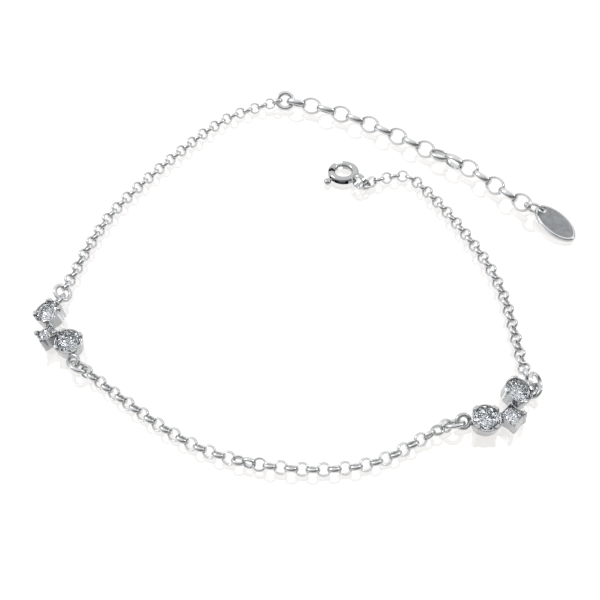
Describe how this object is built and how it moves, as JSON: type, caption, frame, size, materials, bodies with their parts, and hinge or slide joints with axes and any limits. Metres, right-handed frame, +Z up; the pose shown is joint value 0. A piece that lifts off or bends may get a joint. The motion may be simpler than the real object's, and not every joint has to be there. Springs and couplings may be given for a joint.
{
  "type": "ankle bracelet",
  "caption": "Silver rolo-chain ankle bracelet with two clusters of claw-set clear stones, a spring-ring clasp, and an extension chain ending in a plain pointed oval tag.",
  "frame": {"origin": "centre of the footprint, on the surface the bracelet lies on", "axes": "+Z up from that surface; +Y from the front chain towards the clasp; +X towards the tag. The bracelet lies open as it is put down"},
  "size_m": [0.0924, 0.0894, 0.0037],
  "materials": {
    "chain_silver": "polished silver links",
    "setting_silver": "polished cast silver",
    "ring_silver": "polished silver wire",
    "clasp_silver": "polished silver",
    "tag_silver": "matt grey silver face with a bright rounded rim",
    "stone": "clear, cut and polished"
  },
  "bodies": {
    "bracelet": {"chain_left": "chain_silver", "chain_front": "chain_silver", "chain_right": "chain_silver", "extension_chain": "chain_silver", "right_setting": "setting_silver", "left_setting": "setting_silver", "end_ring": "ring_silver", "left_back_ring": "ring_silver", "left_front_ring": "ring_silver", "right_front_ring": "ring_silver", "right_back_ring": "ring_silver", "tag_ring": "ring_silver", "clasp_body": "clasp_silver", "right_front_stone": "stone", "right_square_stone": "stone", "right_back_stone": "stone", "left_front_stone": "stone", "left_square_stone": "stone", "left_back_stone": "stone", "tag": "tag_silver"},
    "trigger": {"clasp_trigger": "clasp_silver"}
  },
  "joints": [
    {"name": "trigger_turn", "type": "hinge", "parent": "bracelet", "child": "trigger", "pos_m": [0.00557, 0.02253, 0.0007], "axis": [0, 0, 1], "range_deg": [0, 56], "stiffness_Nm_per_rad": 0.00002, "springref_deg": -28.65}
  ]
}
